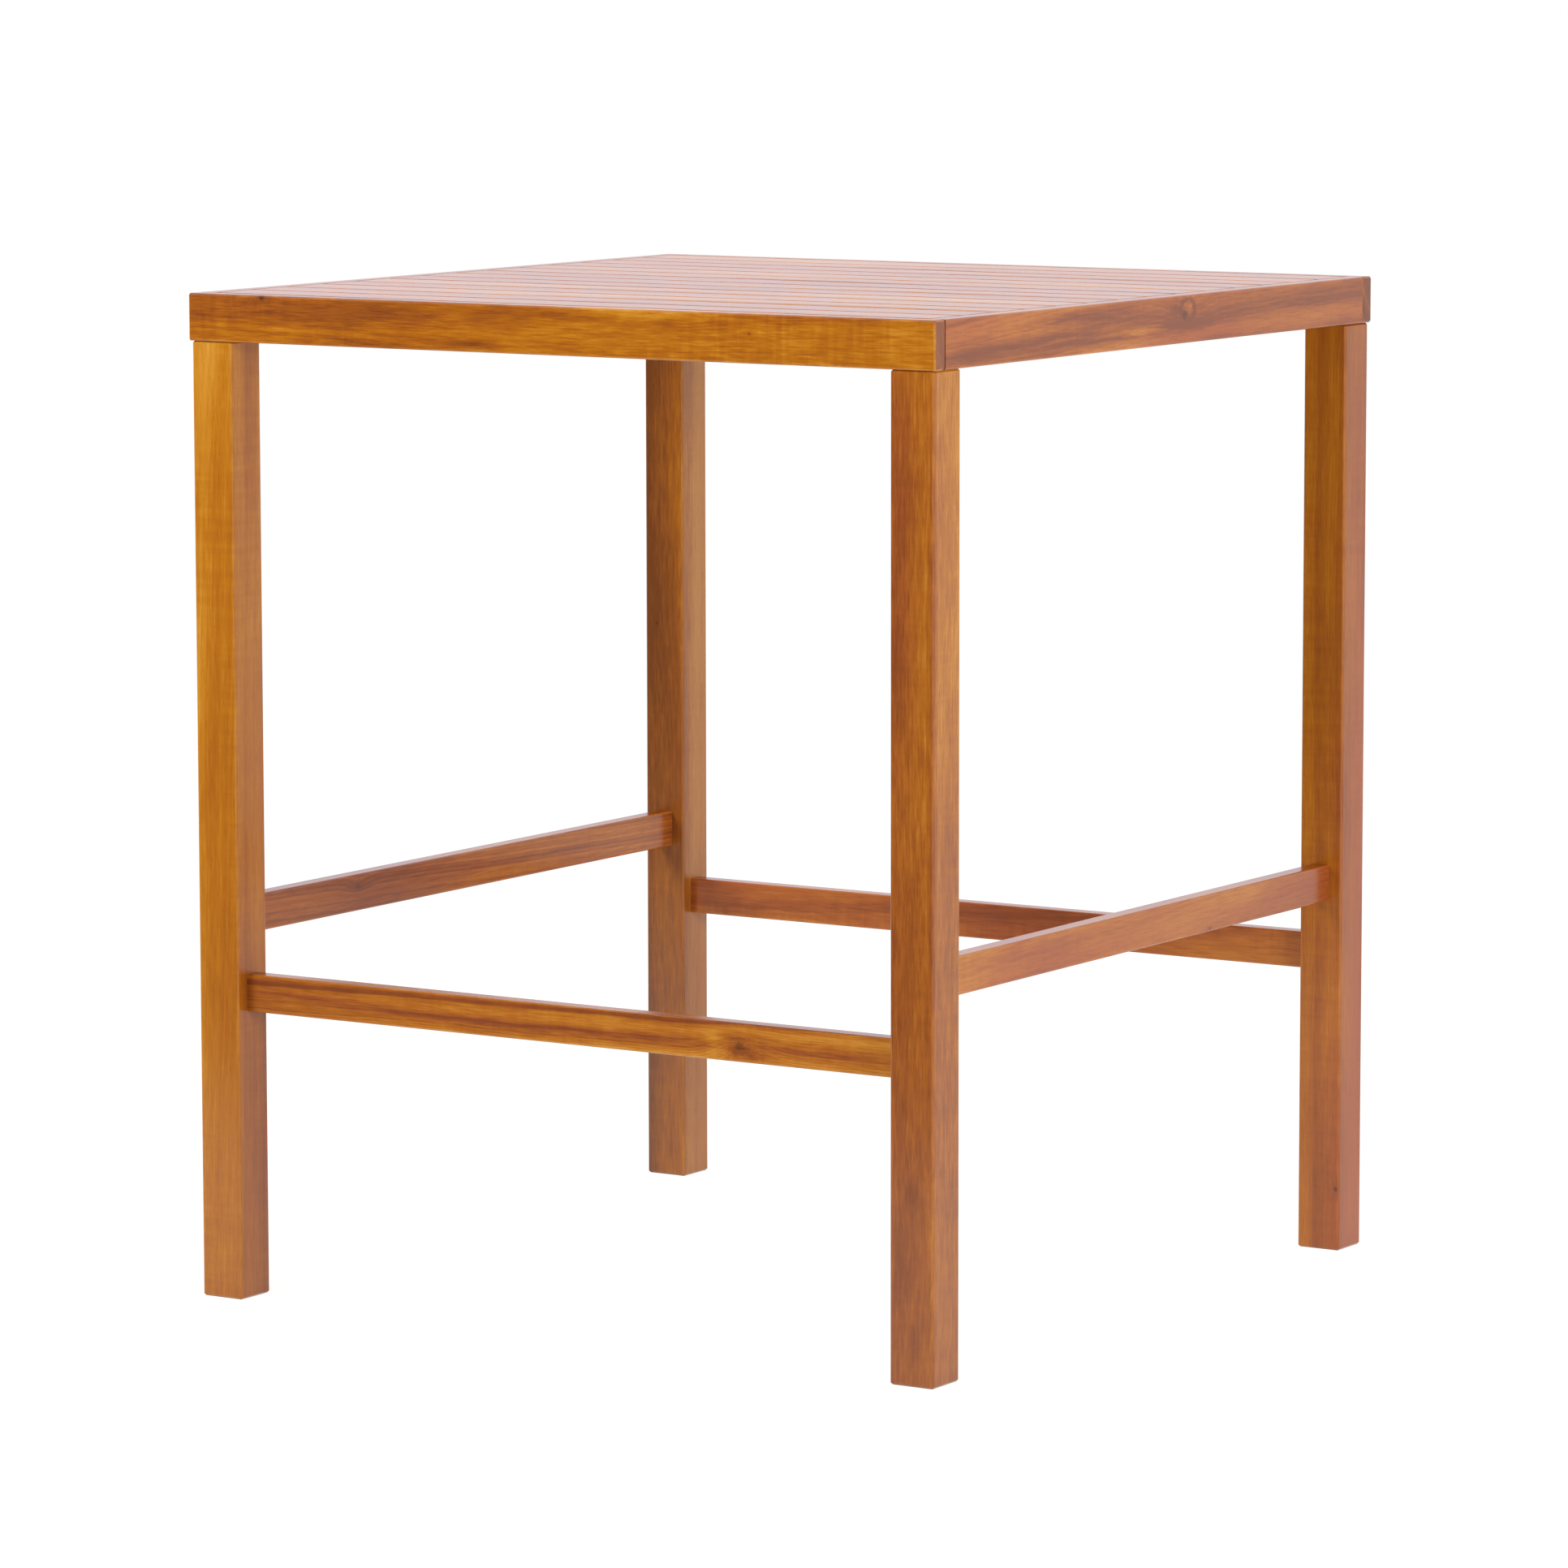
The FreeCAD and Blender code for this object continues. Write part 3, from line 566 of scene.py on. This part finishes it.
def toneAndRedness(tree, board, look, marks):
    settings = acaciaSettings
    tone = settings["middleTone"] + look["tone"]
    for label, share, scale in settings["shares"]:
        tone = plus(tree, tone, maths(tree, "SUBTRACT", marks[label], 0.5), share * look[scale])
    low, high, most, least = settings["redDrift"]
    redness = fade(tree, marks["Drift"], low, high, most * look["red"], least * look["red"])
    tone = maths(tree, "ADD", tone, vectors(tree, "DOT_PRODUCT", board, look["drift"]))
    redness = maths(tree, "ADD", redness, vectors(tree, "DOT_PRODUCT", board, look["blush"]))
    for place, reach, toneShift, redShift in look["patches"]:
        share = useGroup(tree, colorPatch, {"Vector": board, "Place": place, "Reach": reach})["Share"]
        tone = plus(tree, tone, share, toneShift)
        redness = plus(tree, redness, share, redShift)
    streak = maths(tree, "MULTIPLY", fade(tree, marks["Bands"], *settings["streakBands"]), look["streak"])
    tone = plus(tree, tone, streak, settings["streakTone"])
    redness = plus(tree, redness, streak, settings["streakRed"], clamp=True)
    # painted highlight: the rubbed edges are lightened, partly for wear and partly for the light that rounded
    # edges catch
    tone = plus(tree, tone, marks["Edge"], settings["edgeWearAndHighlightTone"] * look["edge"])
    tone = plus(tree, tone, marks["Halo"], settings["haloTone"])
    tone = plus(tree, tone, marks["Rim"], settings["rimTone"])
    return tone, redness


def toneColor(tree, tone):
    ramp = put(tree, "ValToRGB", {"Fac": tone})
    stops = ramp.color_ramp.elements
    while len(stops) < len(acaciaSettings["tones"]):
        stops.new(0.5)
    for stop, (place, color) in zip(stops, acaciaSettings["tones"]):
        stop.position = place
        stop.color = opaque(color)
    return ramp.outputs["Color"]


def boardColor(tree, look, marks, tone, redness, endFace):
    settings = acaciaSettings
    reddish = mixColors(tree, fade(tree, tone, *settings["redTones"]), opaque(settings["darkRed"]),
                        opaque(settings["red"]))
    color = mixColors(tree, redness, toneColor(tree, tone), reddish)
    color = mixColors(tree, look["olive"], color, opaque(settings["olive"]))
    for label, share, paint in (("Pores", "poreShare", "pore"), ("Core", "knotShare", "knot")):
        shown = maths(tree, "MULTIPLY", marks[label], settings[share])
        color = mixColors(tree, shown, color, opaque(settings[paint]))
    endColor = mixColors(tree, fade(tree, marks["Lines"], *settings["endLines"]),
                         opaque(settings["endGrain"]), color)
    return mixColors(tree, maths(tree, "MULTIPLY", endFace, settings["endShare"]), color, endColor)


def boardNormal(tree, board, look, marks, half):
    # fine relief all over, and the uneven dips and rises along a slat's front edge
    settings = acaciaSettings
    height = maths(tree, "SUBTRACT", maths(tree, "MULTIPLY", marks["Fibre"], settings["reliefFibre"]),
                   marks["Pores"])
    height = plus(tree, height, marks["Fine Lines"], settings["reliefLines"])
    normal = put(tree, "Bump", {"Strength": settings["relief"] * look["relief"],
                                "Distance": settings["reliefDepth"], "Height": height}).outputs[0]
    if not look["seams"]:
        return normal
    dip = 0.0
    for x, length, depth in look["seams"]:
        share = useGroup(tree, colorPatch, {"Vector": board, "Place": (x, -half[1], half[2]),
                                            "Reach": (length, *settings["seamReach"])})["Share"]
        dip = plus(tree, dip, share, -depth)
    return put(tree, "Bump", {"Strength": 1.0, "Distance": settings["seamDepth"], "Height": dip,
                              "Normal": normal}).outputs[0]


def newMaterial(name):
    material = bpy.data.materials.new(name)
    material.use_nodes = True
    material.node_tree.nodes.clear()
    return material, material.node_tree


def acaciaMaterial(name, number):
    settings = acaciaSettings
    look = lookOf(name, number)
    axis, turn, middle, half = boardFrame(name)
    material, tree = newMaterial("acacia_" + name)
    board = put(tree, "Mapping", {"Vector": objectPlace(tree), "Rotation": turn,
                                  "Location": -middle}).outputs[0]
    marks = boardMarks(tree, board, look, half)
    tone, redness = toneAndRedness(tree, board, look, marks)
    facing = put(tree, "SeparateXYZ", {0: put(tree, "NewGeometry").outputs["True Normal"]}).outputs[axis]
    endFace = fade(tree, maths(tree, "ABSOLUTE", facing), *settings["endFacing"])
    rough = plus(tree, settings["roughness"], marks["Fibre"], settings["roughFibre"])
    surface = put(tree, "BsdfPrincipled", {
        "Base Color": boardColor(tree, look, marks, tone, redness, endFace),
        "Roughness": plus(tree, rough, endFace, settings["roughEnd"]),
        "IOR": settings["ior"],
        "Normal": boardNormal(tree, board, look, marks, half)})
    put(tree, "OutputMaterial", {"Surface": surface.outputs[0]})
    return material


def giveMaterial(piece, material):
    piece.data.materials.clear()
    piece.data.materials.append(material)


woodNodes = [row["node"] for row in frame["record"]["subparts"] if row["material_slot"] == "oiled_acacia"]
for number, name in enumerate(woodNodes):
    giveMaterial(cadNodes[name], acaciaMaterial(name, number))
print("boards finished:", len(woodNodes))


# Zinc-plated steel and the screws, nuts, washers and hanger bolts under the top

steelSettings = {
    "color": (0.62, 0.62, 0.60),
    "dull": (0.46, 0.45, 0.42),
    "cloud": ((420, 420, 420), 3.0),
    "cloudCut": (0.35, 0.7),
    "roughness": 0.30,
    "roughCloud": 0.15,
}
roundingSettings = {
    "easedAngle": 60,           # degrees
    "smoothAngle": 35,
}


def steelMaterial():
    material, tree = newMaterial("zincSteel")
    cloud = noiseField(tree, objectPlace(tree), *steelSettings["cloud"])
    color = mixColors(tree, fade(tree, cloud, *steelSettings["cloudCut"]), opaque(steelSettings["color"]),
                      opaque(steelSettings["dull"]))
    rough = plus(tree, steelSettings["roughness"], cloud, steelSettings["roughCloud"])
    surface = put(tree, "BsdfPrincipled", {"Base Color": color, "Metallic": 1.0, "Roughness": rough})
    put(tree, "OutputMaterial", {"Surface": surface.outputs[0]})
    return material


def solidBoxes(name):
    # the box of each separate solid in a CAD node, found by the corners (to a micrometre) that faces share
    mesh = cadNodes[name].data
    owner = {}

    def rootOf(key):
        while owner[key] != key:
            owner[key] = owner[owner[key]]
            key = owner[key]
        return key

    keys = [tuple(round(value, 6) for value in vertex.co) for vertex in mesh.vertices]
    for key in keys:
        owner[key] = key
    for polygon in mesh.polygons:
        first = rootOf(keys[polygon.vertices[0]])
        for index in polygon.vertices[1:]:
            owner[rootOf(keys[index])] = first
    solids = {}
    for key in owner:
        solids.setdefault(rootOf(key), []).append(Vector(key))
    return [(Vector(map(min, zip(*points))), Vector(map(max, zip(*points)))) for points in solids.values()]


def modify(piece, kind, **settings):
    bpy.context.view_layer.objects.active = piece
    modifier = piece.modifiers.new(kind.lower(), kind)
    for name, value in settings.items():
        setattr(modifier, name, value)
    bpy.ops.object.modifier_apply(modifier=modifier.name)


def easeEdges(piece, width, steps):
    modify(piece, "BEVEL", width=width, segments=steps, limit_method="ANGLE",
           angle_limit=math.radians(roundingSettings["easedAngle"]))


def addCylinder(radius, low, high, sides):
    bpy.ops.object.select_all(action="DESELECT")
    bpy.ops.mesh.primitive_cylinder_add(vertices=sides, radius=radius, depth=high - low,
                                        location=(0, 0, (low + high) / 2))
    return bpy.context.object


def cutWith(piece, tool, operation="DIFFERENCE"):
    modify(piece, "BOOLEAN", object=tool, operation=operation, solver="EXACT")
    bpy.data.objects.remove(tool)


def joined(pieces, name):
    # one object of several, at the origin, with clean normals
    bpy.ops.object.select_all(action="DESELECT")
    for piece in pieces:
        piece.select_set(True)
    bpy.context.view_layer.objects.active = pieces[0]
    if len(pieces) > 1:
        bpy.ops.object.join()
    bpy.ops.object.transform_apply(location=True, rotation=True, scale=True)
    bpy.ops.object.mode_set(mode="EDIT")
    bpy.ops.mesh.select_all(action="SELECT")
    bpy.ops.mesh.normals_make_consistent(inside=False)
    bpy.ops.object.mode_set(mode="OBJECT")
    bpy.ops.object.shade_smooth_by_angle(angle=math.radians(roundingSettings["smoothAngle"]))
    piece = bpy.context.object
    piece.name = piece.data.name = name
    return piece


screwSettings = {
    "headShare": 0.96,          # head and shank as shares of the solid screw's radius
    "shankShare": 0.46,
    "headSides": 32,
    "shankSides": 16,
    "headHeight": 0.0022,
    "headEase": 0.0009,
    "headEaseSteps": 3,
    "recessLength": 0.0046,     # of each slot of the cross
    "recessWidth": 0.0011,
    "recessDepth": 0.0013,
}


def addScrew(radius, length):
    # along z: the recess at zero, the underside of the round head at the head's height
    settings = screwSettings
    headHeight = settings["headHeight"]
    head = addCylinder(settings["headShare"] * radius, 0, headHeight, settings["headSides"])
    easeEdges(head, settings["headEase"], settings["headEaseSteps"])
    for turn in (0, math.pi / 2):
        bpy.ops.object.select_all(action="DESELECT")
        bpy.ops.mesh.primitive_cube_add(size=1, rotation=(0, 0, turn))
        slot = bpy.context.object
        slot.scale = (settings["recessLength"], settings["recessWidth"], 2 * settings["recessDepth"])
        cutWith(head, slot)
    shank = addCylinder(settings["shankShare"] * radius, headHeight, length, settings["shankSides"])
    return [head, shank]


def addScrews(node, name):
    screws = []
    for low, high in solidBoxes(node):
        size = high - low
        middle = (low + high) / 2
        axis = longSide(size)
        outward = 1 if axis == 2 or middle[axis] > 0 else -1
        radius = min(size[index] for index in range(3) if index != axis) / 2
        screw = joined(addScrew(radius, size[axis]), name)
        direction = Vector([outward if index == axis else 0 for index in range(3)])
        screw.rotation_euler = direction.to_track_quat("Z", "Y").to_euler()
        screw.location = middle - direction * size[axis] / 2
        screws.append(screw)
    return joined(screws, name)


nutSettings = {
    "sides": 6,
    "chamfer": 0.0009,
    "roundSides": 32,           # of the bore and of the round that chamfers the corners
}


def boltRadius():
    low, high = solidBoxes("hanger_bolts")[0]
    return (high.x - low.x) / 2


def addNuts():
    settings = nutSettings
    nuts = []
    for low, high in solidBoxes("nuts"):
        corner = (high.x - low.x) / 2
        height = high.z - low.z
        nut = addCylinder(corner, 0, height, settings["sides"])
        nut.rotation_euler = (0, 0, math.pi / 2)
        rim = addCylinder(corner, 0, height, settings["roundSides"])
        easeEdges(rim, settings["chamfer"], 1)
        cutWith(nut, rim, "INTERSECT")
        cutWith(nut, addCylinder(boltRadius(), -height, 2 * height, settings["roundSides"]))
        nut.location = ((low.x + high.x) / 2, (low.y + high.y) / 2, low.z)
        nuts.append(nut)
    return joined(nuts, "nutsDetailed")


def dress(piece, node, material):
    giveMaterial(piece, material)
    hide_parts(node)
    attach(piece, "root")


zincSteel = steelMaterial()
dress(addScrews("slat_screws", "slatScrews"), "slat_screws", zincSteel)
dress(addScrews("block_screws", "blockScrews"), "block_screws", zincSteel)
dress(addNuts(), "nuts", zincSteel)
for name in ("hanger_bolts", "washers"):
    giveMaterial(cadNodes[name], zincSteel)
print("hardware finished")


# Studio: pale floor, white surroundings, soft light

studioSettings = {
    "floorSize": 400.0,
    "floorDrop": 0.0002,
    "floorColor": (0.85, 0.85, 0.85),
    "floorWhite": 0.75,      # how much of the floor the camera sees as plain white
    "floorGlow": 1.22,
    "worldLight": 0.42,
    "mirroredWhite": (1.05, 1.04, 1.14),
    "lamps": {               # place, size in metres, watts
        "keyLamp": ((-2.4, -3.4, 3.2), 1.8, 145),
        "topLamp": ((0.3, 0.9, 3.6), 2.4, 30),
        "sideLamp": ((4.3, -1.5, 1.25), 1.6, 100),
    },
    "lampAim": (0, 0, 0.7),
    "darkCard": ((-1.0, -1.5, 1.2), (4.4, 2.4), -0.1),     # middle, width and height, turn about z
    "darkCardFades": {"X": (-0.1, 1.2), "Z": (1.2, 2.0)},  # its soft right and top edges
    "darkCardColor": (0.004, 0.004, 0.004),
}
white = (1, 1, 1, 1)


def addPlane(name, size, place, turn=(0, 0, 0)):
    bpy.ops.object.select_all(action="DESELECT")
    bpy.ops.mesh.primitive_plane_add(size=size, location=place, rotation=turn)
    plane = bpy.context.object
    plane.name = name
    return plane


def seeingRays(tree):
    # rays that see the plain white: the camera's, mirrored ones and those through glass
    rays = put(tree, "LightPath").outputs
    mirrored = maths(tree, "ADD", rays["Is Camera Ray"], rays["Is Glossy Ray"])
    return maths(tree, "ADD", mirrored, rays["Is Transmission Ray"], clamp=True)


def addFloor():
    floor = addPlane("floor", studioSettings["floorSize"], (0, 0, -studioSettings["floorDrop"]))
    material, tree = newMaterial("floor")
    matt = put(tree, "BsdfDiffuse", {"Color": opaque(studioSettings["floorColor"])})
    glow = put(tree, "Emission", {"Color": white, "Strength": studioSettings["floorGlow"]})
    share = maths(tree, "MULTIPLY", seeingRays(tree), studioSettings["floorWhite"])
    both = put(tree, "MixShader", {0: share, 1: matt.outputs[0], 2: glow.outputs[0]})
    fromBelow = put(tree, "NewGeometry").outputs["Backfacing"]
    clear = put(tree, "BsdfTransparent")
    shown = put(tree, "MixShader", {0: fromBelow, 1: both.outputs[0], 2: clear.outputs[0]})
    put(tree, "OutputMaterial", {"Surface": shown.outputs[0]})
    giveMaterial(floor, material)


def lightWorld():
    world = bpy.data.worlds.new("studio")
    scene.world = world
    world.use_nodes = True
    tree = world.node_tree
    tree.nodes.clear()
    strength = fade(tree, seeingRays(tree), 0.0, 1.0, studioSettings["worldLight"], 1.0, smooth=False)
    mirrored = put(tree, "LightPath").outputs["Is Glossy Ray"]
    color = mixColors(tree, mirrored, white, opaque(studioSettings["mirroredWhite"]))
    sky = put(tree, "Background", {"Color": color, "Strength": strength})
    put(tree, "OutputWorld", {"Surface": sky.outputs[0]})


def addLamps():
    aim = Vector(studioSettings["lampAim"])
    for name, (place, size, watts) in studioSettings["lamps"].items():
        data = bpy.data.lights.new(name, "AREA")
        data.shape = "DISK"
        data.size = size
        data.energy = watts
        lamp = bpy.data.objects.new(name, data)
        scene.collection.objects.link(lamp)
        lamp.location = place
        lamp.rotation_euler = (aim - Vector(place)).to_track_quat("-Z", "Y").to_euler()
        lamp.visible_glossy = False


def addDarkCard():
    # stands for the unlit side of the studio: only reflections see it
    middle, (width, height), turn = studioSettings["darkCard"]
    card = addPlane("darkCard", 1, middle, (math.pi / 2, 0, turn))
    card.scale = (width, height, 1)
    bpy.ops.object.transform_apply(location=True, rotation=True, scale=True)
    material, tree = newMaterial("darkCard")
    place = put(tree, "SeparateXYZ", {0: objectPlace(tree)}).outputs
    sideways, upwards = [fade(tree, place[axis], low, high, 1.0, 0.0)
                         for axis, (low, high) in studioSettings["darkCardFades"].items()]
    surface = put(tree, "BsdfPrincipled", {
        "Base Color": opaque(studioSettings["darkCardColor"]), "Specular IOR Level": 0.0,
        "Alpha": maths(tree, "MULTIPLY", sideways, upwards)})
    put(tree, "OutputMaterial", {"Surface": surface.outputs[0]})
    giveMaterial(card, material)
    card.visible_camera = card.visible_diffuse = card.visible_shadow = False


addFloor()
lightWorld()
addLamps()
addDarkCard()
scene.view_settings.view_transform = "Standard"
print("studio lit")
